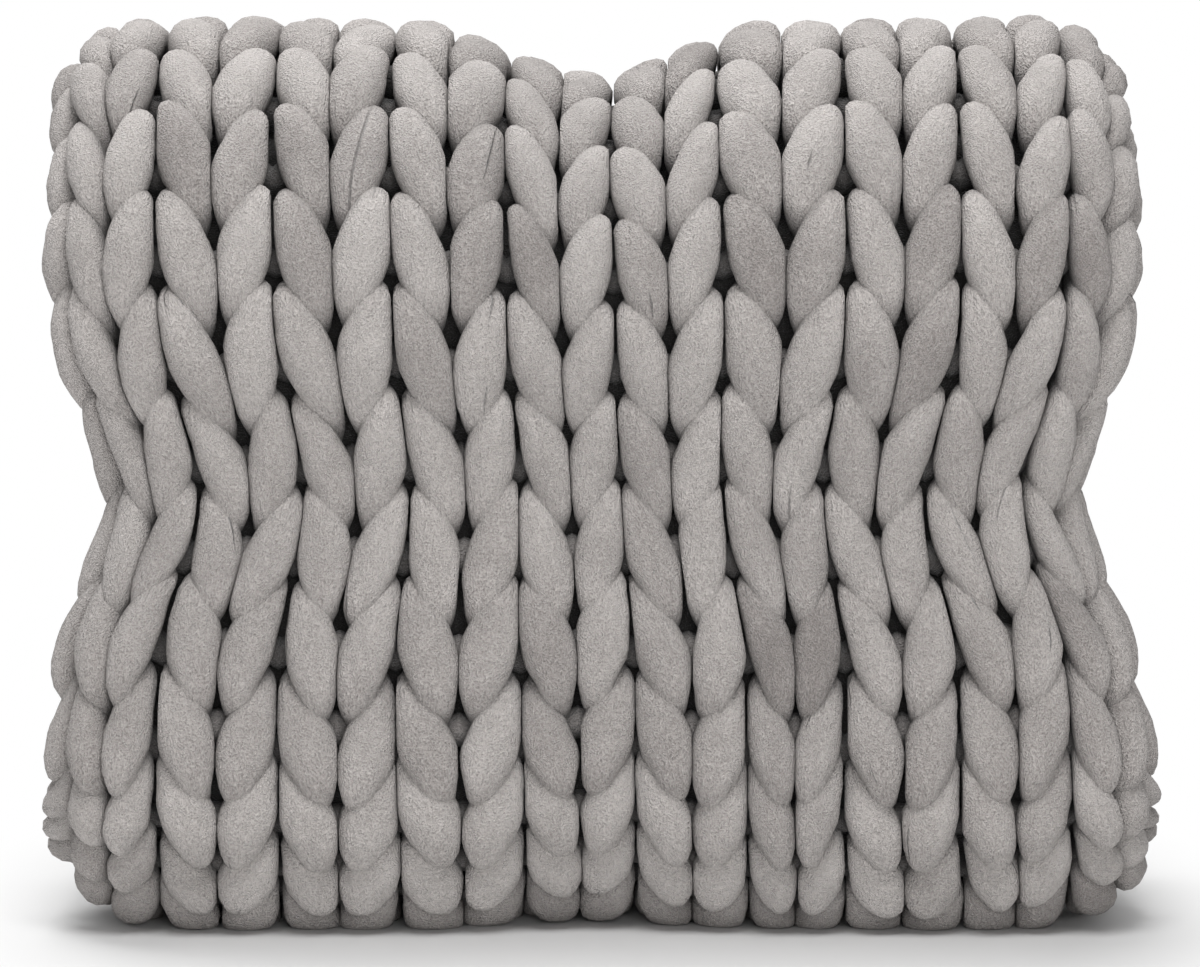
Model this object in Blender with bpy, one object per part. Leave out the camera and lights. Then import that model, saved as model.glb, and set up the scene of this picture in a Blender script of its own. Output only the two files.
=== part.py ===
"""A chunky-knit weighted blanket, folded into a fat upright bundle.

The blanket is one piece of stocking stitch, knitted by hand from a stuffed velvet tube about
27 mm thick. It is folded in three along its length into a thick strip, and the strip is folded in
three again: its back panel stands on the floor, passes over the top as a wide arch, comes down as
the front panel, turns under at the foot and runs up inside as the middle panel.

Metres, +Z up, the front faces -Y, and the origin is the middle of the foot.
Run with: blender --background --python part.py
"""

import math

import bmesh
import bpy
from mathutils import Vector

# Driving sizes of the bundle, in metres
BUNDLE_HEIGHT = 0.429
BUNDLE_WIDTH = 0.512
STRIP_THICKNESS = 0.084
LAYER_GAP = 0.005

# The knit: one wale is a column of stitches, one course is a row of them
WALE = 0.0523
WALES_EACH_WAY = 6
FIRST_WALE_X = 0.0074
FIRST_COURSE_RISE = -0.008
# Up from a course, courses stand this far apart: closer round the foot, where the weight rests
COURSE_PITCHES = (
    # from course, pitch
    (-13, 0.0436),
    (-5, 0.0380),
    (-3, 0.0436),
    (1, 0.0491),
)
STITCH_SLANT = 0.030

# Where the bundle is drawn in, as a belt round its waist and a strap over its middle would do
WAIST_HEIGHT = 0.205
WAIST_BAND = 0.053
WAIST_DRAW_SIDES = 0.094
WAIST_DRAW_FACES = 0.170
MIDDLE_BAND = 0.052
MIDDLE_DRAW_FACES = 0.110
MIDDLE_DRAW_TOP = 0.115
MIDDLE_DRAW_FOOT = 0.045

# How the weight of the blanket settles it on its foot
FOOT_SINK = 0.011
FOOT_FLAT_SINK = 0.0015
FOOT_RELIEF_FADE = 0.030
FOOT_LEAN = 0.020
FOOT_LEAN_HEIGHT = 0.150
LOWER_RIGHT_SPREAD = 0.010
LOWER_SPREAD_HEIGHT = 0.210
CORNER_LIFT = 0.015
CORNER_LIFT_HEIGHT = 0.090
CORNER_LIFT_START = 0.170

# Six lines run up each wale: its axis, two over its right leg, its border, and two over the left
# leg of the next wale. A line's row is its place across the wale and its rise with the legs' slant
WALE_LINES = (
    # across, rise
    (0.00, 0.50),
    (0.15, 0.20),
    (0.35, -0.20),
    (0.50, -0.50),
    (0.65, -0.20),
    (0.85, 0.20),
)
# How deep the stitches' surface lies under their crowns at shares of a course, from its top down
#   share, axis, inner right, outer right, border, outer left, inner left
STITCH_DEPTHS = (
    (0.00, 0.0155, 0.0090, 0.0095, 0.0150, 0.0095, 0.0090),
    (0.28, 0.0110, 0.0010, 0.0005, 0.0085, 0.0005, 0.0010),
    (0.68, 0.0085, 0.0020, 0.0015, 0.0110, 0.0015, 0.0020),
)
COARSE_STITCH_DEPTHS = (
    (0.00, 0.0145, 0.0085, 0.0090, 0.0145, 0.0090, 0.0085),
    (0.45, 0.0095, 0.0010, 0.0010, 0.0095, 0.0010, 0.0010),
)
PLAIN_END_DEPTH = 0.004
FINE_COURSES = range(-4, 7)
COURSES = range(-12, 17)
INNER_FACE_POINTS = 4
INNER_FACE_MARGIN = 0.010
MINIMUM_FOOT_RELIEF = 0.30
# Where the stitches fade round a folded edge, in degrees round it from the outer face
EDGE_FADE_START = 85
EDGE_FADE_END = 165
# The middle panel's stitches lie pressed flat between the panels, up from the turn at the foot and
# on the flat of the panel, not round its edges
PRESSED_FADE = 0.050
PRESSED_EDGE_END = 70
# Both ends of the strip round off, over these angles from its face towards its tip, in degrees
ROUND_END_ANGLES = (25, 50, 75)
BACK_END_ROUND = 0.030

# The middle of the drawn-in bundle's box, which becomes the origin
FOOT_MIDDLE = Vector((0.0050, -0.0006, 0.0))

# Colours, from the velvet
VELVET_COLOUR = (0.44, 0.41, 0.40, 1.0)
VELVET_ROUGHNESS = 0.85

# Sizes worked out from the driving ones
EDGE_RADIUS = STRIP_THICKNESS / 2
FLAT_HALF_WIDTH = BUNDLE_WIDTH / 2 - EDGE_RADIUS
PITCH = STRIP_THICKNESS + LAYER_GAP
ARCH_RADIUS = PITCH + STRIP_THICKNESS / 2
ARCH_HEIGHT = BUNDLE_HEIGHT + FOOT_FLAT_SINK - ARCH_RADIUS
TURN_RADIUS = PITCH / 2 + STRIP_THICKNESS / 2
TURN_HEIGHT = TURN_RADIUS - FOOT_SINK
TURN_CENTRE_Y = TURN_RADIUS - ARCH_RADIUS
EDGE_REACH = FLAT_HALF_WIDTH + math.pi * EDGE_RADIUS
BACK_END = ARCH_HEIGHT - WAIST_HEIGHT + math.pi * ARCH_RADIUS + ARCH_HEIGHT - BACK_END_ROUND
MIDDLE_START = -(WAIST_HEIGHT - TURN_HEIGHT + math.pi * TURN_RADIUS)
MIDDLE_END = MIDDLE_START - (ARCH_HEIGHT - TURN_HEIGHT)


def clear_scene():
    """Removes whatever the scene holds before the model is built."""
    for obj in list(bpy.data.objects):
        bpy.data.objects.remove(obj, do_unlink=True)


def velvet_material():
    """The short-pile velvet of the stuffed tube."""
    material = bpy.data.materials.new("velvet")
    material.use_nodes = True
    shader = material.node_tree.nodes["Principled BSDF"]
    shader.inputs["Base Color"].default_value = VELVET_COLOUR
    shader.inputs["Roughness"].default_value = VELVET_ROUGHNESS
    shader.inputs["Metallic"].default_value = 0.0
    return material


def smooth_share(value, low, high):
    """0 below low, 1 above high, and an even S between them."""
    share = min(1.0, max(0.0, (value - low) / (high - low)))
    return share * share * (3 - 2 * share)


def side_view_place(along, out):
    """The point (y, z) of the folded strip in side view.

    along is the distance over the outer face from the waist of the front panel, upwards over the
    arch and down the back panel, or downwards (negative) round the turn and up the middle panel.
    out is the distance out of the outer face.
    """
    front_up = ARCH_HEIGHT - WAIST_HEIGHT
    front_down = WAIST_HEIGHT - TURN_HEIGHT
    if -front_down <= along <= front_up:
        return -ARCH_RADIUS - out, WAIST_HEIGHT + along
    if along > front_up:
        angle = (along - front_up) / ARCH_RADIUS
        if angle <= math.pi:
            reach = ARCH_RADIUS + out
            return -reach * math.cos(angle), ARCH_HEIGHT + reach * math.sin(angle)
        return ARCH_RADIUS + out, ARCH_HEIGHT - (angle - math.pi) * ARCH_RADIUS
    angle = (-front_down - along) / TURN_RADIUS
    if angle <= math.pi:
        reach = TURN_RADIUS + out
        return TURN_CENTRE_Y - reach * math.cos(angle), TURN_HEIGHT - reach * math.sin(angle)
    return TURN_CENTRE_Y + TURN_RADIUS + out, TURN_HEIGHT + (angle - math.pi) * TURN_RADIUS


def strip_section_place(across, raised, fullness):
    """The point (x, out) on the strip's cross-section.

    across is the distance over its outer face from its middle, round the folded edge and back over
    the inner face. raised is the distance out of the surface there. fullness is 1, and less where
    the end of the strip rounds off.
    """
    side = math.copysign(1.0, across)
    reach = (EDGE_RADIUS + raised) * fullness
    angle = max(0.0, abs(across) - FLAT_HALF_WIDTH) / EDGE_RADIUS
    if angle <= math.pi:
        x = min(abs(across), FLAT_HALF_WIDTH) + reach * math.sin(angle)
        return side * x, reach * math.cos(angle) - EDGE_RADIUS
    inner_x = FLAT_HALF_WIDTH - (angle - math.pi) * EDGE_RADIUS
    return side * inner_x, -reach - EDGE_RADIUS


def draw_in(point):
    """The bundle drawn in at its waist and over its middle, and settled on its foot."""
    x, y, z = point
    waist = math.exp(-(((z - WAIST_HEIGHT) / WAIST_BAND) ** 2))
    middle = math.exp(-((x / MIDDLE_BAND) ** 2))
    from_waist = z - WAIST_HEIGHT
    rise = MIDDLE_DRAW_TOP if from_waist > 0 else MIDDLE_DRAW_FOOT
    spread = 1 - smooth_share(z, 0.0, LOWER_SPREAD_HEIGHT)
    spread *= LOWER_RIGHT_SPREAD * smooth_share(x, 0.0, BUNDLE_WIDTH / 2)
    corner = 1 - smooth_share(z, 0.0, CORNER_LIFT_HEIGHT)
    corner *= CORNER_LIFT * smooth_share(abs(x), CORNER_LIFT_START, BUNDLE_WIDTH / 2)
    lean = FOOT_LEAN * (1 - smooth_share(z, 0.0, FOOT_LEAN_HEIGHT)) * smooth_share(y, 0.0, PITCH)
    return Vector((
        x * (1 - WAIST_DRAW_SIDES * waist) + spread,
        y * (1 - WAIST_DRAW_FACES * waist) * (1 - MIDDLE_DRAW_FACES * middle) - lean,
        max(0.0, WAIST_HEIGHT + from_waist * (1 - rise * middle) + corner - FOOT_FLAT_SINK),
    )) - FOOT_MIDDLE


def blanket_point(across, along, raised, fullness=1.0):
    """A point of the folded blanket, from its distances over the outer face and out of it."""
    x, out = strip_section_place(across, raised, fullness)
    y, z = side_view_place(along, out)
    return draw_in((x, y, z))


def course_pitch(course):
    """How far the next course up starts from this one."""
    return [pitch for first, pitch in COURSE_PITCHES if course >= first][-1]

def course_start(course):
    """How far along the strip the top of a course of stitches is."""
    above = sum(course_pitch(below) for below in range(course))
    below = sum(course_pitch(above) for above in range(course, 0))
    return FIRST_COURSE_RISE + above - below


def station_table():
    """The rings of points down the strip, as rows of (along, depths, slant share, fullness)."""
    plain = [PLAIN_END_DEPTH] * len(WALE_LINES)
    end_angles = [math.radians(angle) for angle in ROUND_END_ANGLES]
    rows = [(BACK_END + BACK_END_ROUND * math.sin(angle), plain, 0.0, math.cos(angle))
            for angle in reversed(end_angles)]
    rows.append((BACK_END, plain, 0.0, 1.0))
    for course in reversed(COURSES):
        table = STITCH_DEPTHS if course in FINE_COURSES else COARSE_STITCH_DEPTHS
        top = course_start(course)
        length = top - course_start(course - 1)
        for share, *depths in table:
            along = top - share * length
            if MIDDLE_END + STITCH_SLANT < along < BACK_END - STITCH_SLANT:
                rows.append((along, depths, 1.0, 1.0))
    rows.append((MIDDLE_END, plain, 0.0, 1.0))
    rows += [(MIDDLE_END - EDGE_RADIUS * math.sin(angle), plain, 0.0, math.cos(angle))
             for angle in end_angles]
    return rows


def line_table():
    """The points round the strip's cross-section, as rows of (across, line of the wale or None)."""
    lines = []
    for wale in range(-WALES_EACH_WAY, WALES_EACH_WAY):
        axis = FIRST_WALE_X + wale * WALE
        lines += [(axis + share * WALE, line) for line, (share, _) in enumerate(WALE_LINES)]
    lines.append((FIRST_WALE_X + WALES_EACH_WAY * WALE, 0))
    inner_half_width = FLAT_HALF_WIDTH - INNER_FACE_MARGIN
    inner_step = 2 * inner_half_width / (INNER_FACE_POINTS - 1)
    right_end = EDGE_REACH + FLAT_HALF_WIDTH
    for point in range(INNER_FACE_POINTS):
        x = inner_half_width - inner_step * point
        lines.append((math.copysign(right_end - abs(x), x), None))
    return lines


def relief_share(across, along):
    """1 where stitches stand proud, falling to 0 inside the folded edges.

    It is also less where the weight presses the stitches on the floor, and 0 between the panels.
    """
    _, z = side_view_place(along, 0.0)
    foot = MINIMUM_FOOT_RELIEF + (1 - MINIMUM_FOOT_RELIEF) * smooth_share(z, 0.0, FOOT_RELIEF_FADE)
    turned = math.degrees((abs(across) - FLAT_HALF_WIDTH) / EDGE_RADIUS)
    pressed = smooth_share(MIDDLE_START - along, 0.0, PRESSED_FADE)
    pressed *= 1 - smooth_share(turned, 0.0, PRESSED_EDGE_END)
    return foot * (1 - pressed) * (1 - smooth_share(turned, EDGE_FADE_START, EDGE_FADE_END))


def knitted_strip():
    """The folded strip as one closed body: a cylinder whose rings follow the fold."""
    stations = station_table()
    lines = line_table()
    bm = bmesh.new()
    bmesh.ops.create_cone(bm, cap_ends=True, segments=len(lines), radius1=1, radius2=1,
                          depth=len(stations) - 1)
    lengthwise = [edge for edge in bm.edges
                  if abs(edge.verts[0].co.z - edge.verts[1].co.z) > 0.5]
    bmesh.ops.subdivide_edges(bm, edges=lengthwise, cuts=len(stations) - 2, use_grid_fill=True)
    lowest = min(vert.co.z for vert in bm.verts)
    for vert in bm.verts:
        turn = math.atan2(vert.co.y, vert.co.x) / math.tau
        across, line = lines[round(turn * len(lines)) % len(lines)]
        along, depths, slant_share, fullness = stations[round(vert.co.z - lowest)]
        if line is None:
            vert.co = blanket_point(across, along, 0.0, fullness)
            continue
        _, rise = WALE_LINES[line]
        share = relief_share(across, along)
        slanted = along + STITCH_SLANT * slant_share * rise * share
        depth = depths[line] * share
        vert.co = blanket_point(across, slanted, -depth, fullness)
    if bm.calc_volume(signed=True) < 0:
        bmesh.ops.reverse_faces(bm, faces=bm.faces)
    mesh = bpy.data.meshes.new("blanket")
    bm.to_mesh(mesh)
    bm.free()
    return mesh


def build():
    """Builds the blanket in a collection of its own."""
    clear_scene()
    collection = bpy.data.collections.new("weighted_blanket")
    bpy.context.scene.collection.children.link(collection)
    blanket = bpy.data.objects.new("blanket", knitted_strip())
    blanket.data.materials.append(velvet_material())
    blanket.data.shade_smooth()
    collection.objects.link(blanket)


build()
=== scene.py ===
"""The folded chunky-knit weighted blanket, dressed.

The blanket is one piece of stocking stitch, knitted by hand from a stuffed velvet tube. Every
course of it is modelled here as one continuous tube that follows the yarn's real route: out of the
fabric near the top of a stitch, down a leg, behind the next course as the head, and up the other
leg. The flat knit is laid out first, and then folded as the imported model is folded, so that its
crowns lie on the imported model's surface.

Metres, +Z up, the front faces -Y.
"""

from __future__ import annotations

import logging
import math
from collections.abc import Iterable
from dataclasses import dataclass, field
from enum import Enum

import bmesh
import bpy
import numpy as np
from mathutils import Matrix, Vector


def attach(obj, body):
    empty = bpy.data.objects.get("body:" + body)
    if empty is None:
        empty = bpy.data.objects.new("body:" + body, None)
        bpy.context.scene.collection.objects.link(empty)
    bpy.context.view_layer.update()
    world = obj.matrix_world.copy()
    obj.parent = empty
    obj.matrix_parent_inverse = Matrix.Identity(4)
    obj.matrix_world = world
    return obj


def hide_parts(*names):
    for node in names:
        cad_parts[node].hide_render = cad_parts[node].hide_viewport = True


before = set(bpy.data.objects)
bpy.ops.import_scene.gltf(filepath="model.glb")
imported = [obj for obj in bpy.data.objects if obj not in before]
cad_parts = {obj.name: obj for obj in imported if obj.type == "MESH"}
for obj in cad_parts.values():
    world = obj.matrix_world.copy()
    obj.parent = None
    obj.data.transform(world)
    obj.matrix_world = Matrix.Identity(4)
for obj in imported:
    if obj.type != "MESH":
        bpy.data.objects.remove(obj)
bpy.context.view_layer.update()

LOG = logging.getLogger("blanket")
NODE = "blanket"
BODY = "root"
SEED = 7
MM_PER_METRE = 1000


def smooth_share(value: np.ndarray, low: float, high: float) -> np.ndarray:
    """An even S from 0 at low to 1 at high.

    Args:
        value: The values to read.
        low: Where the S starts.
        high: Where the S ends.

    Returns:
        The share at each value.
    """
    share = np.clip((value - low) / (high - low), 0.0, 1.0)
    return share * share * (3 - 2 * share)


def for_course(table: tuple[tuple[int, float], ...], course: int) -> float:
    """Reads a table of values that hold from a course up to the next row's course.

    Args:
        table: The first course of each value and the value, the lowest course first.
        course: The course's number.

    Returns:
        The value for that course.
    """
    return [value for first, value in table if course >= first][-1]


def straight_tube(rings: int, sides: int) -> bpy.types.Mesh:
    """A straight closed tube of evenly spaced rings, from which the knit is laid.

    Args:
        rings: How many rings it has.
        sides: How many points each ring has.

    Returns:
        The tube's mesh, standing on its ring 0 with its rings 1 m apart.
    """
    bm = bmesh.new()
    bmesh.ops.create_cone(
        bm, cap_ends=True, segments=sides, radius1=1.0, radius2=1.0, depth=rings - 1
    )
    lengthwise = [edge for edge in bm.edges if abs(edge.verts[0].co.z - edge.verts[1].co.z) > 0.5]
    bmesh.ops.subdivide_edges(bm, edges=lengthwise, cuts=rings - 2, use_grid_fill=True)
    bmesh.ops.translate(bm, verts=bm.verts, vec=(0.0, 0.0, (rings - 1) / 2))
    mesh = bpy.data.meshes.new("straight_tube")
    bm.to_mesh(mesh)
    bm.free()
    return mesh


def points_of(mesh: bpy.types.Mesh) -> np.ndarray:
    """The places of a mesh's points, one row each."""
    points = np.empty(len(mesh.vertices) * 3)
    mesh.vertices.foreach_get("co", points)
    return points.reshape(-1, 3)


def joined_piece(
    name: str, meshes: Iterable[bpy.types.Mesh], material: bpy.types.Material
) -> bpy.types.Object:
    """Joins meshes into one smooth piece with its faces outwards.

    Args:
        name: The piece's name.
        meshes: The meshes, which are used up.
        material: What the piece is dressed in.

    Returns:
        The piece's object.
    """
    bm = bmesh.new()
    for mesh in meshes:
        bm.from_mesh(mesh)
        bpy.data.meshes.remove(mesh)
    if bm.calc_volume(signed=True) < 0:
        bmesh.ops.reverse_faces(bm, faces=bm.faces)
    whole = bpy.data.meshes.new(name)
    bm.to_mesh(whole)
    bm.free()
    whole.shade_smooth()
    whole.materials.append(material)
    piece = bpy.data.objects.new(name, whole)
    bpy.context.scene.collection.objects.link(piece)
    return piece


def add_attributes(mesh: bpy.types.Mesh, **named: np.ndarray) -> None:
    """Gives the points of a mesh named values, which the velvet reads.

    Args:
        mesh: The mesh.
        named: The values by name, one for each point, or a row of three.
    """
    for name, values in named.items():
        vector = values.ndim == 2
        layer = mesh.attributes.new(name, "FLOAT_VECTOR" if vector else "FLOAT", "POINT")
        numbers = np.ascontiguousarray(values, dtype=np.float32).ravel()
        layer.data.foreach_set("vector" if vector else "value", numbers)


@dataclass(frozen=True)
class BundleFold:
    """How the flat knit is folded into the bundle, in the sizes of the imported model."""

    height: float = 0.429
    width: float = 0.512
    strip_thickness: float = 0.084
    layer_gap: float = 0.005
    waist_height: float = 0.205
    waist_band: float = 0.053
    waist_draw_sides: float = 0.094
    waist_draw_faces: float = 0.170
    middle_band: float = 0.052
    middle_draw_faces: float = 0.110
    middle_draw_top: float = 0.115
    middle_draw_foot: float = 0.045
    foot_sink: float = 0.011
    foot_flat_sink: float = 0.0015
    foot_softness: float = 0.0012
    foot_lean: float = 0.020
    foot_lean_height: float = 0.150
    lower_right_spread: float = 0.010
    lower_spread_height: float = 0.210
    corner_lift: float = 0.015
    corner_lift_height: float = 0.090
    corner_lift_start: float = 0.170
    back_end_round: float = 0.030
    least_fullness: float = 0.25
    foot_middle: tuple[float, float] = (0.0050, -0.0006)

    @property
    def edge_radius(self) -> float:
        """The radius of the strip's folded edges."""
        return self.strip_thickness / 2

    @property
    def flat_half_width(self) -> float:
        """Half the width of the strip between its rounded edges."""
        return self.width / 2 - self.edge_radius

    @property
    def pitch(self) -> float:
        """From one panel of the strip to the next."""
        return self.strip_thickness + self.layer_gap

    @property
    def arch_radius(self) -> float:
        """The outer radius of the arch over the top."""
        return self.pitch + self.strip_thickness / 2

    @property
    def arch_height(self) -> float:
        """The height of the arch's centre."""
        return self.height + self.foot_flat_sink - self.arch_radius

    @property
    def turn_radius(self) -> float:
        """The outer radius of the turn at the foot."""
        return self.pitch / 2 + self.strip_thickness / 2

    @property
    def turn_height(self) -> float:
        """The height of the turn's centre."""
        return self.turn_radius - self.foot_sink

    @property
    def back_end(self) -> float:
        """How far along the strip its back end starts to round off."""
        arch = math.pi * self.arch_radius
        return self.arch_height - self.waist_height + arch + self.arch_height - self.back_end_round

    @property
    def middle_end(self) -> float:
        """How far along the strip its middle end starts to round off."""
        turn = math.pi * self.turn_radius
        rise = self.arch_height - self.turn_height
        return -(self.waist_height - self.turn_height + turn + rise)

    def fullness(self, along: np.ndarray) -> np.ndarray:
        """The strip's thickness as a share, which falls where its ends round off."""
        past_back = (along - self.back_end) / self.back_end_round
        past_middle = (self.middle_end - along) / self.edge_radius
        past = np.clip(np.maximum(past_back, past_middle), 0.0, 1.0)
        return np.maximum(self.least_fullness, np.sqrt(1 - past * past))

    def strip_section(
        self, across: np.ndarray, raised: np.ndarray, fullness: np.ndarray
    ) -> tuple[np.ndarray, np.ndarray]:
        """Places on the strip's cross-section.

        Args:
            across: Distance over the outer face from its middle, round the folded edge.
            raised: Distance out of the surface there.
            fullness: The strip's thickness as a share.

        Returns:
            The place across the bundle, and the distance out of the strip's outer face.
        """
        distance = np.abs(across)
        beyond = np.maximum(0.0, distance - self.flat_half_width)
        angle = np.minimum(math.pi, beyond / self.edge_radius)
        inward = np.maximum(0.0, beyond - math.pi * self.edge_radius)
        reach = (self.edge_radius + raised) * fullness
        x = np.minimum(distance, self.flat_half_width) + reach * np.sin(angle) - inward
        return np.sign(across) * x, reach * np.cos(angle) - self.edge_radius

    def side_view(self, along: np.ndarray, out: np.ndarray) -> tuple[np.ndarray, np.ndarray]:
        """Places of the folded strip in side view.

        Args:
            along: Distance over the outer face from the front's waist, up over the arch and down
                the back, or (negative) round the turn at the foot and up the middle panel.
            out: Distance out of the outer face.

        Returns:
            The depth (y) and the height (z).
        """
        front_up = self.arch_height - self.waist_height
        front_down = self.waist_height - self.turn_height
        arch = np.clip((along - front_up) / self.arch_radius, 0.0, math.pi)
        down_back = np.maximum(0.0, along - front_up - math.pi * self.arch_radius)
        reach = self.arch_radius + out
        upper_y = -reach * np.cos(arch)
        upper_z = self.waist_height + np.minimum(along, front_up) - down_back
        upper_z += reach * np.sin(arch)
        turn = np.clip((-front_down - along) / self.turn_radius, 0.0, math.pi)
        up_middle = np.maximum(0.0, -front_down - along - math.pi * self.turn_radius)
        reach = self.turn_radius + out
        lower_y = self.turn_radius - self.arch_radius - reach * np.cos(turn)
        lower_z = self.turn_height + up_middle - reach * np.sin(turn)
        lower = along < -front_down
        return np.where(lower, lower_y, upper_y), np.where(lower, lower_z, upper_z)

    def draw_in(self, x: np.ndarray, y: np.ndarray, z: np.ndarray) -> np.ndarray:
        """The bundle drawn in at its waist and over its middle, and settled on its foot.

        Args:
            x: Places across the bundle.
            y: Places through its depth.
            z: Heights.

        Returns:
            The places in the frame, one row each.
        """
        waist = np.exp(-(((z - self.waist_height) / self.waist_band) ** 2))
        middle = np.exp(-((x / self.middle_band) ** 2))
        from_waist = z - self.waist_height
        rise = np.where(from_waist > 0, self.middle_draw_top, self.middle_draw_foot)
        spread = 1 - smooth_share(z, 0.0, self.lower_spread_height)
        spread = spread * self.lower_right_spread * smooth_share(x, 0.0, self.width / 2)
        corner = 1 - smooth_share(z, 0.0, self.corner_lift_height)
        corner = corner * self.corner_lift
        corner = corner * smooth_share(np.abs(x), self.corner_lift_start, self.width / 2)
        lean = 1 - smooth_share(z, 0.0, self.foot_lean_height)
        lean = lean * self.foot_lean * smooth_share(y, 0.0, self.pitch)
        faces = (1 - self.waist_draw_faces * waist) * (1 - self.middle_draw_faces * middle)
        height = self.waist_height + from_waist * (1 - rise * middle) + corner
        height = self.foot_softness * np.logaddexp(
            0.0, (height - self.foot_flat_sink) / self.foot_softness
        )
        return np.stack(
            [
                x * (1 - self.waist_draw_sides * waist) + spread - self.foot_middle[0],
                y * faces - lean - self.foot_middle[1],
                height,
            ],
            axis=-1,
        )

    def place(self, across: np.ndarray, along: np.ndarray, raised: np.ndarray) -> np.ndarray:
        """Places on the folded blanket, from places on the flat knit.

        Args:
            across: Distance across the knit from the middle wale's side.
            along: Distance along the strip from the front's waist.
            raised: Distance out of the knit's crowns, negative inwards.

        Returns:
            The places in the frame, one row each.
        """
        x, out = self.strip_section(across, raised, self.fullness(along))
        y, z = self.side_view(along, out)
        return self.draw_in(x, y, z)


@dataclass(frozen=True)
class Gauge:
    """How closely the blanket is knitted, and where its wales and courses lie."""

    wale: float = 0.0523
    first_wale: float = 0.0074
    first_top: float = 0.0089
    lowest: int = -18
    highest: int = 20
    # Up from a course, courses stand this far apart
    pitches: tuple[tuple[int, float], ...] = (
        # from course, pitch
        (-18, 0.0410),
        (-5, 0.0340),
        (-4, 0.0455),
        (-3, 0.0365),
        (-2, 0.0436),
        (1, 0.0491),
    )

    def pitch(self, course: int) -> float:
        """How far the next course up is from this one."""
        return for_course(self.pitches, course)

    def along(self, course: np.ndarray) -> np.ndarray:
        """How far along the strip the tops of the leaves lie, also between whole courses."""
        courses = range(self.lowest, self.highest)
        tops = np.cumsum([0.0] + [self.pitch(lower) for lower in courses[:-1]])
        tops += self.first_top - tops[-self.lowest]
        return np.interp(course, courses, tops)

    def axis(self, wale: int) -> float:
        """How far across the knit the axis of a wale lies."""
        return self.first_wale + wale * self.wale


def periodic_spline(points: np.ndarray, places: np.ndarray) -> np.ndarray:
    """A closed cubic spline through evenly spaced points.

    Args:
        points: The points, one row each, of which the last joins the first.
        places: Where to read it, from 0 at the first point to 1 back there again.

    Returns:
        The spline's values, one row for each place.
    """
    count = len(points)
    weights = (4 + 2 * np.cos(2 * np.pi * np.arange(count) / count)) / 6
    knots = np.fft.ifft(np.fft.fft(points, axis=0) / weights[:, None], axis=0).real
    scaled = places * count
    index = np.floor(scaled).astype(int)
    rest = (scaled - index)[:, None]
    basis = (
        (1 - rest) ** 3 / 6,
        (3 * rest**3 - 6 * rest**2 + 4) / 6,
        (-3 * rest**3 + 3 * rest**2 + 3 * rest + 1) / 6,
        rest**3 / 6,
    )
    return sum(part * knots[(index + step - 1) % count] for step, part in enumerate(basis))


class Route(Enum):
    """The columns of a stitch's route."""

    ACROSS = 0
    RISE = 1
    DEPTH = 2
    HALF_WIDTH = 3
    HALF_DEPTH = 4
    PINCH = 5


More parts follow.
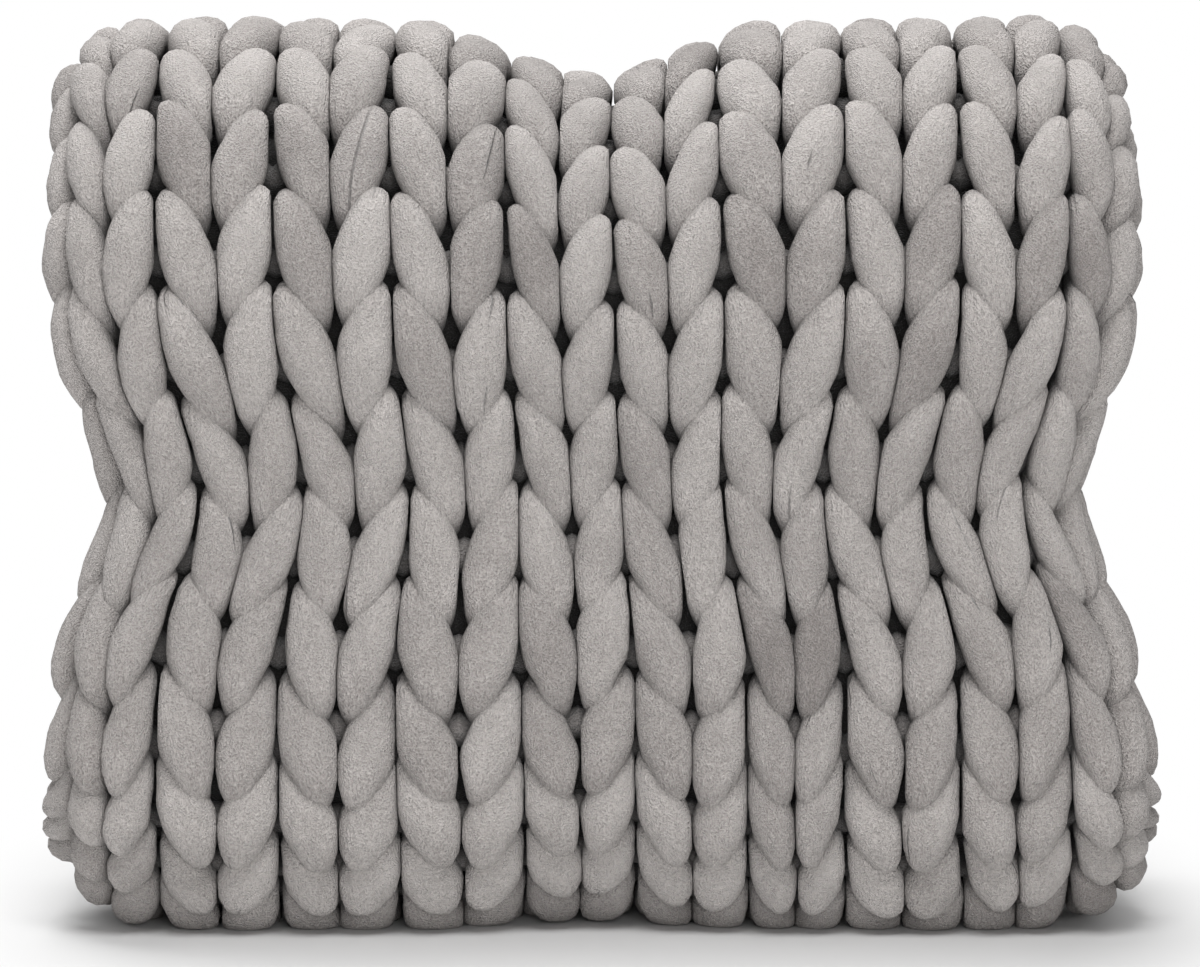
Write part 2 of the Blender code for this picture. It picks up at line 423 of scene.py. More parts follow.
@dataclass(frozen=True)
class Stitch:
    """One stitch of the stuffed yarn, as it lies in the flat knit."""

    gauge: Gauge
    reference_course: float = 0.046
    # From the middle of the loop between two wales, down the left leg, to the middle of the head.
    # Millimetres from the wale's axis and from the leaf's top, and under the crowns.
    left_half: tuple[tuple[float, ...], ...] = (
        # across, rise, depth, half width, half depth, pinch
        (-26.15, 10.5, 23.5, 8.2, 8.2, 0.6),
        (-19.5, 7.5, 26.0, 7.6, 7.6, 0.8),
        (-12.3, 1.0, 25.0, 6.4, 7.0, 1.0),
        (-7.4, -4.4, 18.0, 6.1, 7.0, 1.0),
        (-7.5, -8.5, 12.6, 7.6, 8.6, 0.9),
        (-9.6, -16.5, 11.0, 9.8, 10.2, 0.4),
        (-11.9, -26.0, 11.4, 11.7, 11.6, 0.0),
        (-14.3, -35.5, 12.3, 12.6, 12.3, 0.0),
        (-16.6, -45.5, 13.0, 11.4, 11.5, 0.2),
        (-17.6, -54.5, 15.6, 8.6, 9.6, 0.6),
        (-16.3, -63.5, 22.0, 7.2, 8.0, 0.9),
        (-8.2, -75.0, 26.5, 7.7, 7.8, 1.0),
        (0.0, -80.5, 27.5, 8.0, 8.0, 0.6),
    )
    front_weight: float = 1.7
    front_depth: float = 0.022
    trial_places: int = 801
    # The lower ends of the leaves stand out over the next row, most of all round the foot
    lifts: tuple[tuple[int, float], ...] = (
        # from course, depth a rise
        (-18, 0.0),
        (-7, 0.16),
        (-6, 0.32),
        (-1, 0.17),
        (0, 0.09),
        (2, 0.05),
    )
    lift_about: float = -0.032
    # The leaves next to the floor are pushed short
    lengths: tuple[tuple[int, float], ...] = (
        # from course, share of the full length
        (-18, 1.0),
        (-5, 0.82),
        (-4, 0.76),
        (-3, 1.0),
    )
    # Towards the foot the leaves end slimmer
    tapers: tuple[tuple[int, float], ...] = (
        # from course, share of the width taken off at a leaf's lower end
        (-18, 0.0),
        (-7, 0.17),
        (-1, 0.07),
        (1, 0.0),
    )
    taper_between: tuple[float, float] = (0.036, 0.056)

    def taper(self, course: int, rise: np.ndarray) -> np.ndarray:
        """The share of its width that a course keeps at each distance down its leaves."""
        return 1 - for_course(self.tapers, course) * smooth_share(-rise, *self.taper_between)

    def length(self, course: int) -> float:
        """How long the leaves of a course are, as a share or a multiple of the plain length."""
        stretch = max(1.0, self.gauge.pitch(course - 1) / self.reference_course)
        return for_course(self.lengths, course) * stretch

    def lift(self, course: int) -> float:
        """How much shallower the leaves of a course lie for each length down them."""
        return for_course(self.lifts, course)

    def samples(self, rings: int) -> tuple[np.ndarray, np.ndarray]:
        """The route of one whole stitch, with its rings closest where it shows.

        Args:
            rings: How many rings the stitch has.

        Returns:
            The share of the stitch at each ring, and the route's columns there in metres.
        """
        left = np.array(self.left_half)
        left[:, : Route.PINCH.value] /= MM_PER_METRE
        right = left[-2:0:-1].copy()
        right[:, Route.ACROSS.value] *= -1
        whole = np.vstack([left, right])
        drift = np.arange(len(whole)) / len(whole) * self.gauge.wale
        whole[:, Route.ACROSS.value] -= drift
        fine = np.linspace(0.0, 1.0, self.trial_places)
        route = periodic_spline(whole, fine)
        route[:, Route.ACROSS.value] += fine * self.gauge.wale
        steps = np.linalg.norm(np.diff(route[:, : Route.HALF_WIDTH.value], axis=0), axis=1)
        shallow = route[1:, Route.DEPTH.value] < self.front_depth
        length = np.concatenate([[0.0], np.cumsum(steps * np.where(shallow, self.front_weight, 1))])
        shares = np.interp(np.arange(rings) / rings * length[-1], length, fine)
        route = periodic_spline(whole, shares)
        route[:, Route.ACROSS.value] += shares * self.gauge.wale
        return shares, route


@dataclass(frozen=True)
class Unevenness:
    """How much the hand of the knitter and the stuffing vary, in metres or as shares, with the
    painted light and shade laid over the leaves and rows.
    """

    leg_across: float = 0.0008
    leg_rise: float = 0.0022
    leg_depth: float = 0.0008
    leg_size: float = 0.035
    meeting: float = 0.0006
    row_wander: float = 0.0020
    row_wavelength: float = 0.31
    row_drift: float = 0.9
    row_phase: float = 1.0
    wale_wander: float = 0.0012
    wale_wavelength: float = 0.26
    wale_drift: float = 1.1
    lump: float = 0.0005
    lump_wavelength: float = 0.021
    lump_octaves: tuple[tuple[float, float], ...] = (
        # how many times as close, share
        (1.0, 0.5),
        (1.7, 0.3),
        (2.9, 0.2),
    )
    most_lumps_round: int = 3
    leaf_tone: float = 0.20
    # Painted light: left legs are coloured lighter and right legs darker, for light from the upper
    # left
    left_leg_tone: float = 0.12
    # Painted light and shade: each leaf is coloured lighter at its top and darker down its length,
    # for light from above and the shade where it turns in
    top_tone: float = 0.30
    tone_fall: float = 9.0
    # Painted light and shade over the rows: how much lighter or darker each course is coloured for
    # how the light falls on it
    row_tones: tuple[tuple[int, float], ...] = (
        # from course, painted light
        (-18, 0.0),
        (-6, -0.45),
        (-4, 0.60),
        (-3, 0.10),
        (-2, -0.45),
        (0, -0.15),
        (1, 0.0),
    )
    dark_leaf_tone: float = 0.85
    dark_share_top: float = 0.34
    dark_share_front: float = 0.05
    top_courses: range = range(3, 8)
    # How far the stitches really lie off the even gauge, in millimetres, at places on the front.
    # Across they are the columns' places, and along each row starts with its own.
    shift_columns: tuple[float, ...] = (-205, -100, -50, 55, 105, 160, 210)
    shift_right: tuple[tuple[float, ...], ...] = (
        # along, then the shift at each place across
        (-150, -1, 6, 12, 11, 1, 0, -3),
        (-70, 0, 5, 12, 14, 6, 5, 4),
        (60, 1, 3, 4, 0, 4, 5, 3),
        (170, -1, 3, 5, -1, 5, 6, 6),
    )
    shift_up: tuple[tuple[float, ...], ...] = (
        # along, then the shift at each place across
        (-150, -2, -1, -2, -7, -3, -3, 1),
        (-70, 0, 1, -5, -6, -4, 0, 7),
        (60, -3, 0, 0, -1, -1, 1, 0),
        (170, 3, 0, 2, 2, 3, 6, -4),
    )

    def shift(
        self, table: tuple[tuple[float, ...], ...], across: np.ndarray, along: np.ndarray
    ) -> np.ndarray:
        """Reads a table of shifts between its rows and columns.

        Args:
            table: The table, its rows from the lowest up.
            across: Distance across the knit.
            along: Distance along the strip.

        Returns:
            The shift at each place, in metres.
        """
        place = across * MM_PER_METRE
        rows = np.array([np.interp(place, self.shift_columns, row[1:]) for row in table])
        level = np.interp(along * MM_PER_METRE, [row[0] for row in table], range(len(table)))
        lower = np.minimum(level.astype(int), len(table) - 2)
        low, high = (np.take_along_axis(rows, row[None], axis=0)[0] for row in (lower, lower + 1))
        return (low + (high - low) * (level - lower)) / MM_PER_METRE

    def wander(self, across: np.ndarray, along: np.ndarray) -> tuple[np.ndarray, np.ndarray]:
        """Where the rows and the wales of the flat knit really run, a little off straight."""
        row = across / self.row_wavelength + along / self.row_drift
        wale = along / self.wale_wavelength + across / self.wale_drift
        moved_across = across + self.wale_wander * np.sin(math.tau * wale)
        moved_across += self.shift(self.shift_right, across, along)
        moved_along = along + self.row_wander * np.sin(math.tau * row + self.row_phase)
        moved_along += self.shift(self.shift_up, across, along)
        return moved_across, moved_along

    def row_tone(self, course: int) -> float:
        """How much lighter or darker a course is coloured, as painted light and shade."""
        return for_course(self.row_tones, course)

    def dark_share(self, course: int) -> float:
        """How many leaves of a course have their nap brushed the dark way."""
        return self.dark_share_top if course in self.top_courses else self.dark_share_front


@dataclass(frozen=True)
class Detail:
    """How finely a course is meshed."""

    rings: int
    sides: int


class Panel(Enum):
    """The panels of the folded strip: their courses, and how finely they are meshed."""

    BACK = ("knit_back", range(9, 18), Detail(44, 16))
    ARCH = ("knit_arch", range(3, 9), Detail(48, 16))
    FRONT = ("knit_front", range(-4, 3), Detail(48, 16))
    TURN = ("knit_turn", range(-8, -4), Detail(40, 16))
    MIDDLE = ("knit_middle", range(-14, -8), Detail(30, 12))


@dataclass
class KnittedBlanket:
    """The whole knit, built course by course and folded."""

    fold: BundleFold
    gauge: Gauge
    stitch: Stitch
    uneven: Unevenness
    wales: range = range(-7, 7)
    squareness: float = 0.92
    contact_gap: float = 0.00015
    # How deep under the crowns a point counts as wholly sunk, for the painted shade of the pits
    deepest: float = 0.038
    # Over how much of a leg it comes to be pressed flat against the next
    pressed_between: tuple[float, float] = (0.3, 0.6)
    # From a course's yarn to the next course's, so that their naps differ
    yarn_offset: float = 3.1
    seam_turn: float = 5.0
    seam_wander: float = 1.7
    seam_twist: float = 2.3
    rng: np.random.Generator = field(default_factory=lambda: np.random.default_rng(SEED))

    def yarn_route(self, course: int, detail: Detail) -> dict[str, np.ndarray]:
        """The route of a whole course's yarn over the flat knit.

        Args:
            course: The course's number, up from the front's waist.
            detail: How finely it is meshed.

        Returns:
            The centres, half sizes, pinch, tone with painted light and shade, length run, axes and
            meeting planes, by name.
        """
        shares, one = self.stitch.samples(detail.rings)
        count = len(self.wales)
        route = np.tile(one, (count, 1))
        leg = np.sin(2 * np.pi * np.tile(shares, count)) ** 2
        legs = (np.arange(count)[:, None] * 2 + (shares >= 0.5)[None, :]).ravel()
        axis = np.repeat([self.gauge.axis(wale) for wale in self.wales], detail.rings)
        uneven = self.uneven
        vary = self.rng.standard_normal((4, count * 2))
        across = axis + route[:, Route.ACROSS.value] + leg * uneven.leg_across * vary[0, legs]
        rise = route[:, Route.RISE.value] * self.stitch.length(course)
        along = self.gauge.along(course) + rise
        along = along + leg * uneven.leg_rise * vary[1, legs]
        depth = route[:, Route.DEPTH.value] + leg * uneven.leg_depth * vary[2, legs]
        lifted = self.stitch.lift(course) * (route[:, Route.RISE.value] - self.stitch.lift_about)
        depth = depth + leg * lifted
        size = 1 + leg * uneven.leg_size * vary[3, legs]
        taper = self.stitch.taper(course, route[:, Route.RISE.value])
        tones = self.rng.normal(0.0, uneven.leaf_tone, count * 2)
        dark_share = uneven.dark_share(course)
        tones -= (self.rng.random(count * 2) < dark_share) * uneven.dark_leaf_tone
        # Painted light: left legs coloured lighter, right legs darker, on top of the random tone of
        # each leg
        tones += uneven.left_leg_tone * np.tile([1.0, -1.0], count)
        side = np.where(legs % 2, 1.0, -1.0)
        meets = self.rng.normal(0.0, uneven.meeting, count)[legs // 2]
        borders = self.rng.normal(0.0, uneven.meeting, count + 1)[legs // 2 + legs % 2]
        # Painted light and shade: each leaf coloured lighter at its top and darker down its length,
        # and each row lighter or darker
        painted_light = uneven.top_tone + uneven.tone_fall * route[:, Route.RISE.value]
        painted_light = painted_light + uneven.row_tone(course)
        centres = np.stack([across, along, -depth], axis=-1)
        run = np.concatenate([[0.0], np.cumsum(np.linalg.norm(np.diff(centres, axis=0), axis=1))])
        return {
            "centres": centres,
            "half_width": route[:, Route.HALF_WIDTH.value] * size * taper,
            "half_depth": route[:, Route.HALF_DEPTH.value] * size,
            "pinch": route[:, Route.PINCH.value],
            "tone": leg * tones[legs] + painted_light,
            "run": run,
            "axis": axis,
            "leg": leg * side,
            "inner": self.contact_gap + side * meets,
            "outer": self.gauge.wale / 2 - self.contact_gap + side * borders,
        }

    def course_mesh(self, course: int, detail: Detail) -> bpy.types.Mesh:
        """One course: a tube along its yarn's route, folded with the blanket.

        Args:
            course: The course's number, up from the front's waist.
            detail: How finely it is meshed.

        Returns:
            The course's mesh in the frame.
        """
        route = self.yarn_route(course, detail)
        centres = route["centres"]
        tangent = np.gradient(centres, axis=0)
        tangent /= np.linalg.norm(tangent, axis=1)[:, None]
        outward = np.array([0.0, 0.0, 1.0]) - tangent[:, 2:3] * tangent
        outward /= np.linalg.norm(outward, axis=1)[:, None]
        sideways = np.cross(tangent, outward)

        mesh = straight_tube(len(centres), detail.sides)
        mesh.name = f"course_{course}"
        points = points_of(mesh)
        ring = np.clip(np.rint(points[:, 2]).astype(int), 0, len(centres) - 1)
        angle = np.arctan2(points[:, 1], points[:, 0])
        wide = np.sign(np.cos(angle)) * np.abs(np.cos(angle)) ** self.squareness
        deep = np.sign(np.sin(angle)) * np.abs(np.sin(angle)) ** self.squareness
        run = route["run"][ring]
        lump = self.lumps(run, angle)
        wide = wide * (route["half_width"][ring] + lump)
        deep = deep * (route["half_depth"][ring] + lump)
        flat = centres[ring] + sideways[ring] * wide[:, None] + outward[ring] * deep[:, None]
        where = {name: route[name][ring] for name in ("axis", "leg", "inner", "outer")}
        flat[:, 0] = self.pressed(flat[:, 0], **where)
        across, along = self.uneven.wander(flat[:, 0], flat[:, 1])
        folded = self.fold.place(across, along, flat[:, 2])
        mesh.vertices.foreach_set("co", folded.ravel())

        along_yarn = run + course * self.yarn_offset
        straight = np.stack([along_yarn, wide, deep], axis=-1)
        seam = self.seam_turn * np.sin(along_yarn * self.seam_wander)
        seam = seam + along_yarn * self.seam_twist
        from_seam = np.abs((angle - seam + np.pi) % (2 * np.pi) - np.pi)
        from_seam *= route["half_width"][ring]
        # The sunk value paints shade: the deeper a point lies under the crowns, the darker the
        # velvet colours it
        add_attributes(
            mesh,
            yarn=straight,
            tone=route["tone"][ring],
            pinch=route["pinch"][ring],
            seam=from_seam,
            sunk=np.clip(-flat[:, 2] / self.deepest, 0.0, 1.0),
        )
        return mesh

    def pressed(
        self,
        across: np.ndarray,
        axis: np.ndarray,
        leg: np.ndarray,
        inner: np.ndarray,
        outer: np.ndarray,
    ) -> np.ndarray:
        """Presses the legs flat where they meet at the axis and at the borders of a wale.

        Args:
            across: Places across the knit.
            axis: The axis of the wale there.
            leg: How far each place is in a leg, negative in the left one.
            inner: How far from the axis the legs of a stitch meet.
            outer: How far from the axis it meets its neighbours.

        Returns:
            The places, none past the legs' meeting planes.
        """
        side = np.sign(leg)
        out = (across - axis) * side
        kept = np.clip(out, inner, outer)
        share = smooth_share(np.abs(leg), *self.pressed_between)
        return across + side * share * (kept - out)

    def lumps(self, run: np.ndarray, angle: np.ndarray) -> np.ndarray:
        """The stuffing's soft lumps.

        Args:
            run: Distance along the yarn.
            angle: Angle round the yarn.

        Returns:
            How far the surface stands proud at each point.
        """
        total = np.zeros_like(run)
        for octave, share in self.uneven.lump_octaves:
            turns = self.rng.integers(1, self.uneven.most_lumps_round + 1)
            phase = self.rng.random(2) * 2 * np.pi
            wave = 2 * np.pi * run * octave / self.uneven.lump_wavelength
            total += share * np.sin(wave + phase[0]) * np.cos(turns * angle + phase[1])
        return total * self.uneven.lump

    def build_panel(self, panel: Panel, material: bpy.types.Material) -> bpy.types.Object:
        """One panel of the folded strip, as a piece.

        Args:
            panel: Which panel.
            material: What it is dressed in.

        Returns:
            The panel's object.
        """
        name, courses, detail = panel.value
        meshes = (self.course_mesh(course, detail) for course in courses)
        return joined_piece(name, meshes, material)


@dataclass
class InnerLayers:
    """The layers of knit inside each panel, which show through the pits, coloured nearly black
    where they lie deep as painted shade.
    """

    fold: BundleFold
    depth: float = 0.034
    inner_face_depth: float = 0.004
    inner_face_angles: tuple[float, float] = (2.5, 3.3)
    bump: float = 0.0025
    bump_pitch: float = 0.024
    # How far into the round of each end they reach
    middle_end_share: float = 0.9
    back_end_share: float = 0.6
    rings: int = 240
    lines: int = 120

    def build(self, material: bpy.types.Material) -> bpy.types.Object:
        """Builds the inner layers as a piece.

        Args:
            material: What they are dressed in.

        Returns:
            The inner layers' object.
        """
        mesh = straight_tube(self.rings, self.lines)
        points = points_of(mesh)
        share = points[:, 2] / (self.rings - 1)
        start = self.fold.middle_end - self.middle_end_share * self.fold.edge_radius
        end = self.fold.back_end + self.back_end_share * self.fold.back_end_round
        along = start + (end - start) * share
        half = self.fold.flat_half_width * 2 + math.pi * self.fold.edge_radius
        across = np.arctan2(points[:, 1], points[:, 0]) / np.pi * half
        relief = np.cos(2 * np.pi * along / self.bump_pitch) * np.cos(
            2 * np.pi * across / self.bump_pitch
        )
        angle = (np.abs(across) - self.fold.flat_half_width) / self.fold.edge_radius
        depth = self.inner_face_depth - self.depth
        depth = self.depth + depth * smooth_share(angle, *self.inner_face_angles)
        folded = self.fold.place(across, along, self.bump * relief - depth)
        mesh.vertices.foreach_set("co", folded.ravel())
        # Their sunk value makes the velvet colour them nearly black where they lie deep: painted
        # shade in the pits
        zeros = np.zeros_like(depth)
        add_attributes(
            mesh,
            yarn=np.stack([along, across, zeros], axis=-1),
            tone=zeros,
            pinch=zeros,
            seam=zeros + 1.0,
            sunk=depth / KnittedBlanket.deepest,
        )
        return joined_piece("inner_layers", [mesh], material)


@dataclass(frozen=True)
class Grain:
    """One grain of the nap: a noise over the yarn, and how far it shows."""

    scale: float
    detail: float
    stretch: float = 1.0
    shade: float = 0.0
    height: float = 0.0


@dataclass(frozen=True)
class Nap:
    """The velvet's nap: soft patches, a crushed grain, the pile, pinch wrinkles and a seam, with
    painted light from the tone and painted shade in the pits.
    """

    patches: Grain = Grain(45.0, 2.0, stretch=1.6, shade=0.65, height=1.2)
    crushed: Grain = Grain(420.0, 1.0, shade=0.35, height=0.4)
    pile: Grain = Grain(1150.0, 1.5, shade=1.50, height=2.1)
    wrinkles: Grain = Grain(330.0, 2.0, stretch=9.0, shade=0.40, height=2.4)
    # The seam shows only where its noise is past these two values
    seam: Grain = Grain(9.0, 0.0, shade=-0.35, height=-1.8)
    seam_shown: tuple[float, float] = (0.48, 0.56)
    seam_half_width: float = 0.0009
    middle_shade: float = 0.68
    # How far the tone, with its painted light and shade, moves the colour
    tone_shade: float = 0.34
    # Painted shade: the colour darkens from the first depth to the second, as shares of the
    # deepest, for the shade in the pits
    sunk_between: tuple[float, float] = (0.14, 0.66)
    sunk_shade: float = 0.08

    def group(self) -> bpy.types.NodeTree:
        """Builds the nap as a node group.

        Returns:
            The group, from the yarn's attributes to a colour shade, a height and the painted shade
            of the pits.
        """
        group = bpy.data.node_groups.new("velvet_nap", "ShaderNodeTree")
        face = group.interface
        face.new_socket("Yarn", in_out="INPUT", socket_type="NodeSocketVector")
        for name in ("Tone", "Pinch", "Seam", "Sunk"):
            face.new_socket(name, in_out="INPUT", socket_type="NodeSocketFloat")
        for name in ("Shade", "Height", "PaintedPitShade"):
            face.new_socket(name, in_out="OUTPUT", socket_type="NodeSocketFloat")
        source = group.nodes.new("NodeGroupInput")
        sink = group.nodes.new("NodeGroupOutput")
        links = group.links

        def noise(grain: Grain) -> bpy.types.NodeSocket:
            """Noise over the yarn, stretched along it."""
            mapping = group.nodes.new("ShaderNodeMapping")
            mapping.inputs["Scale"].default_value = (1 / grain.stretch, 1.0, 1.0)
            links.new(source.outputs["Yarn"], mapping.inputs["Vector"])
            node = group.nodes.new("ShaderNodeTexNoise")
            node.inputs["Scale"].default_value = grain.scale
            node.inputs["Detail"].default_value = grain.detail
            links.new(mapping.outputs["Vector"], node.inputs["Vector"])
            return node.outputs["Fac"]

        def maths(
            kind: str, first: bpy.types.NodeSocket | float, second: bpy.types.NodeSocket | float
        ) -> bpy.types.NodeSocket:
            """A sum or the like of two sockets or numbers."""
            node = group.nodes.new("ShaderNodeMath")
            node.operation = kind
            for place, value in enumerate((first, second)):
                if isinstance(value, bpy.types.NodeSocket):
                    links.new(value, node.inputs[place])
                else:
                    node.inputs[place].default_value = value
            return node.outputs["Value"]

        def fade(value: bpy.types.NodeSocket, ends: tuple[float, ...]) -> bpy.types.NodeSocket:
            """An S from the third to the fourth number while the value runs over the first two."""
            node = group.nodes.new("ShaderNodeMapRange")
            node.interpolation_type = "SMOOTHSTEP"
            for name, end in zip(("From Min", "From Max", "To Min", "To Max"), ends):
                node.inputs[name].default_value = end
            links.new(value, node.inputs["Value"])
            return node.outputs["Result"]

        def centred(grain: Grain) -> bpy.types.NodeSocket:
            """A grain's noise about zero."""
            return maths("SUBTRACT", noise(grain), 0.5)

        on_seam = fade(source.outputs["Seam"], (0.0, self.seam_half_width, 1.0, 0.0))
        seam_shown = fade(noise(self.seam), (*self.seam_shown, 0.0, 1.0))
        grains = (
            (self.patches, centred(self.patches)),
            (self.crushed, centred(self.crushed)),
            (self.pile, centred(self.pile)),
            (self.wrinkles, maths("MULTIPLY", centred(self.wrinkles), source.outputs["Pinch"])),
            (self.seam, maths("MULTIPLY", on_seam, seam_shown)),
        )
        shade = maths("MULTIPLY", source.outputs["Tone"], self.tone_shade)
        shade = maths("ADD", shade, self.middle_shade)
        height = 0.0
        for grain, value in grains:
            shade = maths("ADD", shade, maths("MULTIPLY", value, grain.shade))
            height = maths("ADD", height, maths("MULTIPLY", value, grain.height))
        links.new(shade, sink.inputs["Shade"])
        links.new(height, sink.inputs["Height"])
        # Painted shade: the deeper the yarn lies under the crowns, the darker its colour
        deep = fade(source.outputs["Sunk"], (*self.sunk_between, 1.0, self.sunk_shade))
        links.new(deep, sink.inputs["PaintedPitShade"])
        return group


@dataclass(frozen=True)
class Velvet:
    """The short-pile velvet of the stuffed tube."""

    name: str
    light: tuple[float, float, float] = (0.52, 0.487, 0.470)
    dark: tuple[float, float, float] = (0.23, 0.208, 0.198)
    roughness: float = 0.9
    sheen: float = 0.20
    sheen_roughness: float = 0.45
    specular: float = 0.2
    bump: float = 1.0
    bump_height: float = 0.0016

    def material(self) -> bpy.types.Material:
        """The velvet as a material that reads the yarn's own attributes."""
        material = bpy.data.materials.new(self.name)
        material.use_nodes = True
        tree = material.node_tree
        shader = tree.nodes["Principled BSDF"]
        shader.inputs["Roughness"].default_value = self.roughness
        shader.inputs["Sheen Weight"].default_value = self.sheen
        shader.inputs["Sheen Roughness"].default_value = self.sheen_roughness
        shader.inputs["Specular IOR Level"].default_value = self.specular
        nap = tree.nodes.new("ShaderNodeGroup")
        nap.node_tree = Nap().group()
        for name in ("yarn", "tone", "pinch", "seam", "sunk"):
            attribute = tree.nodes.new("ShaderNodeAttribute")
            attribute.attribute_name = name
            output = "Vector" if name == "yarn" else "Fac"
            tree.links.new(attribute.outputs[output], nap.inputs[name.capitalize()])
        mix = tree.nodes.new("ShaderNodeMix")
        mix.data_type = "RGBA"
        mix.inputs["A"].default_value = (*self.dark, 1.0)
        mix.inputs["B"].default_value = (*self.light, 1.0)
        tree.links.new(nap.outputs["Shade"], mix.inputs["Factor"])
        # Painted shade: the colour is multiplied darker where the yarn lies sunk
        deep = tree.nodes.new("ShaderNodeMix")
        deep.data_type = "RGBA"
        deep.blend_type = "MULTIPLY"
        deep.inputs["Factor"].default_value = 1.0
        tree.links.new(mix.outputs["Result"], deep.inputs["A"])
        tree.links.new(nap.outputs["PaintedPitShade"], deep.inputs["B"])
        tree.links.new(deep.outputs["Result"], shader.inputs["Base Color"])
        bump = tree.nodes.new("ShaderNodeBump")
        bump.inputs["Strength"].default_value = self.bump
        bump.inputs["Distance"].default_value = self.bump_height
        tree.links.new(nap.outputs["Height"], bump.inputs["Height"])
        tree.links.new(bump.outputs["Normal"], shader.inputs["Normal"])
        return material


@dataclass(frozen=True)
class SoftLight:
    """A large soft light: its name, where it hangs, the side of its square face, and its watts."""

    name: str
    place: tuple[float, float, float]
    size: float
    power: float


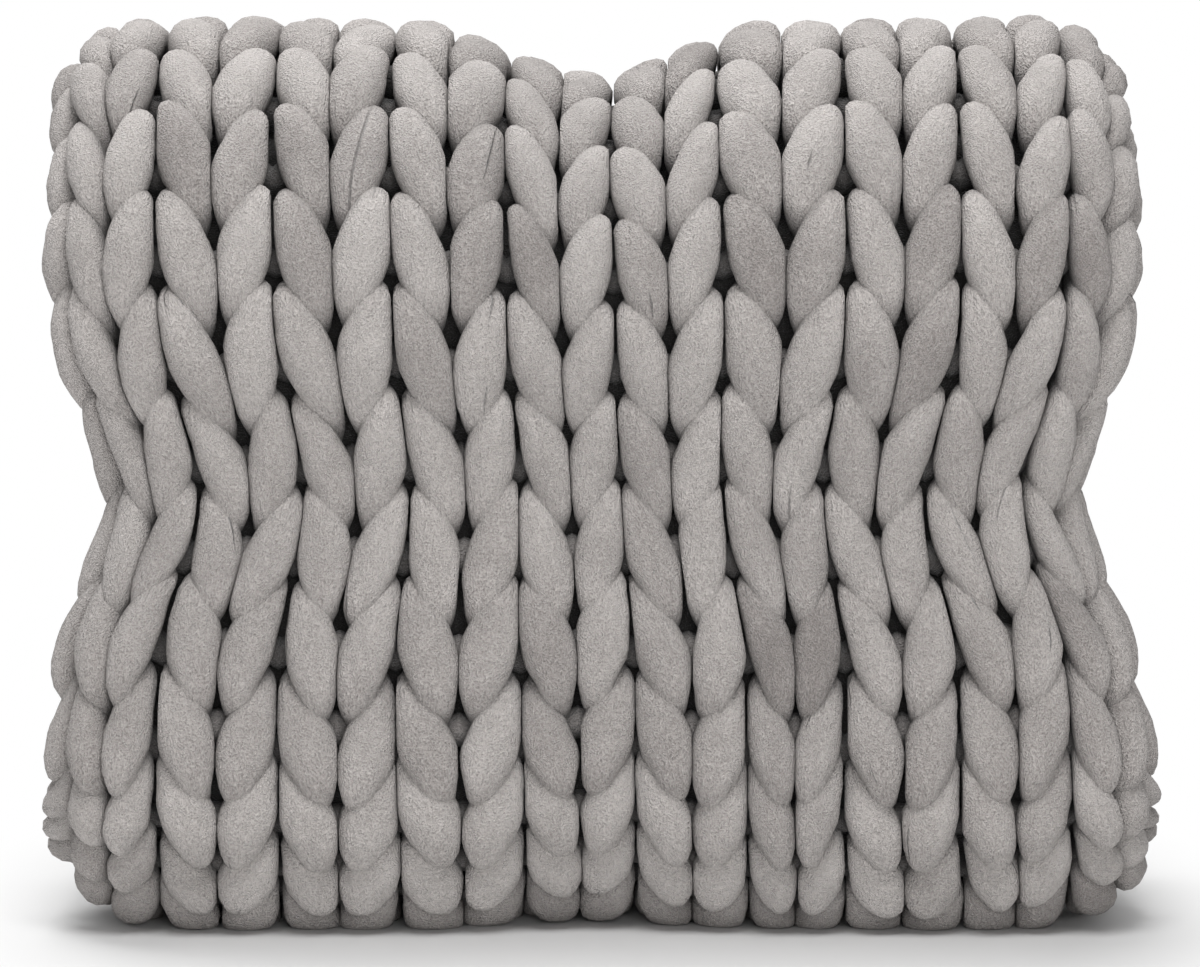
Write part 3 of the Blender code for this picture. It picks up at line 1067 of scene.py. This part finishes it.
@dataclass
class Studio:
    """The floor, the light and the camera."""

    camera_distance: float = 2.4
    camera_rise: float = 3.5
    front_face: float = -0.10
    frame_width: float = 0.5556
    frame_middle: tuple[float, float] = (-0.0018, 0.2104)
    sensor: float = 36.0
    floor_size: float = 24.0
    floor_stretch: tuple[float, float, float] = (1.0, 0.5, 1.0)
    # Painted shadow: round the bundle the camera sees the floor darker than the light it throws
    # back, and this fades into the white between these distances
    floor_fade: tuple[float, float] = (0.22, 0.34)
    floor_painted_shadow: float = 0.60
    floor_bounce: float = 0.86
    room_light: float = 0.27
    backdrop_light: float = 1.0
    floor_roughness: float = 0.8
    lights: tuple[SoftLight, ...] = (
        SoftLight("overhead", (-0.45, 0.70, 2.4), 1.6, 68.0),
        SoftLight("front", (0.10, -1.4, 2.5), 1.0, 54.0),
        SoftLight("low", (0.30, -2.4, 0.3), 1.2, 28.0),
    )
    lights_face: tuple[float, float, float] = (0.0, 0.0, 0.2)

    def floor(self) -> None:
        """A plain floor."""
        bm = bmesh.new()
        bmesh.ops.create_grid(bm, x_segments=2, y_segments=2, size=self.floor_size)
        mesh = bpy.data.meshes.new("floor")
        bm.to_mesh(mesh)
        bm.free()
        mesh.materials.append(self.floor_material())
        floor = bpy.data.objects.new("floor", mesh)
        bpy.context.scene.collection.objects.link(floor)

    def floor_material(self) -> bpy.types.Material:
        """Matt pale grey, which the camera sees darker round the bundle as painted shadow, and
        which runs out into the white of the backdrop away from the bundle.
        """
        material = bpy.data.materials.new("floor_white")
        material.use_nodes = True
        tree = material.node_tree
        shader = tree.nodes["Principled BSDF"]
        shader.inputs["Roughness"].default_value = self.floor_roughness
        glow = tree.nodes.new("ShaderNodeEmission")
        place = tree.nodes.new("ShaderNodeTexCoord")
        stretched = tree.nodes.new("ShaderNodeVectorMath")
        stretched.operation = "MULTIPLY"
        stretched.inputs[1].default_value = self.floor_stretch
        tree.links.new(place.outputs["Object"], stretched.inputs[0])
        distance = tree.nodes.new("ShaderNodeVectorMath")
        distance.operation = "LENGTH"
        tree.links.new(stretched.outputs["Vector"], distance.inputs[0])
        fade = tree.nodes.new("ShaderNodeMapRange")
        fade.interpolation_type = "SMOOTHSTEP"
        fade.inputs["From Min"].default_value = self.floor_fade[0]
        fade.inputs["From Max"].default_value = self.floor_fade[1]
        tree.links.new(distance.outputs["Value"], fade.inputs["Value"])
        seen = tree.nodes.new("ShaderNodeLightPath")
        # Painted shadow: camera rays see the darker floor colour, other rays the lighter one
        paint = tree.nodes.new("ShaderNodeMix")
        paint.data_type = "RGBA"
        paint.inputs["A"].default_value = (*[self.floor_bounce] * 3, 1.0)
        paint.inputs["B"].default_value = (*[self.floor_painted_shadow] * 3, 1.0)
        tree.links.new(seen.outputs["Is Camera Ray"], paint.inputs["Factor"])
        tree.links.new(paint.outputs["Result"], shader.inputs["Base Color"])
        share = tree.nodes.new("ShaderNodeMath")
        share.operation = "MULTIPLY"
        tree.links.new(fade.outputs["Result"], share.inputs[0])
        tree.links.new(seen.outputs["Is Camera Ray"], share.inputs[1])
        mix = tree.nodes.new("ShaderNodeMixShader")
        tree.links.new(share.outputs["Value"], mix.inputs["Fac"])
        tree.links.new(shader.outputs["BSDF"], mix.inputs[1])
        tree.links.new(glow.outputs["Emission"], mix.inputs[2])
        output = tree.nodes["Material Output"]
        tree.links.new(mix.outputs["Shader"], output.inputs["Surface"])
        return material

    def hang(self, soft: SoftLight) -> None:
        """Hangs a soft light so that it faces the bundle.

        Args:
            soft: The light.
        """
        data = bpy.data.lights.new(soft.name, "AREA")
        data.shape = "SQUARE"
        data.size = soft.size
        data.energy = soft.power
        light = bpy.data.objects.new(soft.name, data)
        light.location = soft.place
        towards = Vector(self.lights_face) - Vector(soft.place)
        light.rotation_euler = towards.to_track_quat("-Z", "Y").to_euler()
        bpy.context.scene.collection.objects.link(light)

    def light(self) -> None:
        """Plain soft studio light, most of it from the front and above."""
        world = bpy.data.worlds.new("studio")
        world.use_nodes = True
        tree = world.node_tree
        room = tree.nodes["Background"]
        room.inputs["Strength"].default_value = self.room_light
        backdrop = tree.nodes.new("ShaderNodeBackground")
        backdrop.inputs["Strength"].default_value = self.backdrop_light
        for background in (room, backdrop):
            background.inputs["Color"].default_value = (1.0, 1.0, 1.0, 1.0)
        seen = tree.nodes.new("ShaderNodeLightPath")
        mix = tree.nodes.new("ShaderNodeMixShader")
        tree.links.new(seen.outputs["Is Camera Ray"], mix.inputs["Fac"])
        tree.links.new(room.outputs["Background"], mix.inputs[1])
        tree.links.new(backdrop.outputs["Background"], mix.inputs[2])
        tree.links.new(mix.outputs["Shader"], tree.nodes["World Output"].inputs["Surface"])
        bpy.context.scene.world = world
        for soft in self.lights:
            self.hang(soft)

    def camera(self) -> None:
        """The camera, straight in front and looking a little down."""
        data = bpy.data.cameras.new("camera")
        data.sensor_width = self.sensor
        data.lens = self.sensor * self.camera_distance / self.frame_width
        camera = bpy.data.objects.new("camera", data)
        x, z = self.frame_middle
        rise = math.radians(self.camera_rise)
        back = self.camera_distance * math.cos(rise)
        camera.location = (x, self.front_face - back, z + self.camera_distance * math.sin(rise))
        camera.rotation_euler = (math.pi / 2 - rise, 0.0, 0.0)
        bpy.context.scene.collection.objects.link(camera)
        bpy.context.scene.camera = camera

    def build(self) -> None:
        """Sets up the studio."""
        self.floor()
        self.light()
        self.camera()
        bpy.context.scene.view_settings.view_transform = "Standard"


def main() -> None:
    """Builds the blanket and the studio, and reports each piece."""
    logging.basicConfig(level=logging.INFO, format="%(message)s")
    fold = BundleFold()
    gauge = Gauge()
    knit = KnittedBlanket(fold, gauge, Stitch(gauge), Unevenness())
    velvet = Velvet("velvet").material()
    pieces = [InnerLayers(fold).build(velvet)]
    pieces += [knit.build_panel(panel, velvet) for panel in Panel]
    for piece in pieces:
        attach(piece, BODY)
        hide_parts(NODE)
        LOG.info("%s: %d faces", piece.name, len(piece.data.polygons))
    Studio().build()


if __name__ == "__main__":
    main()
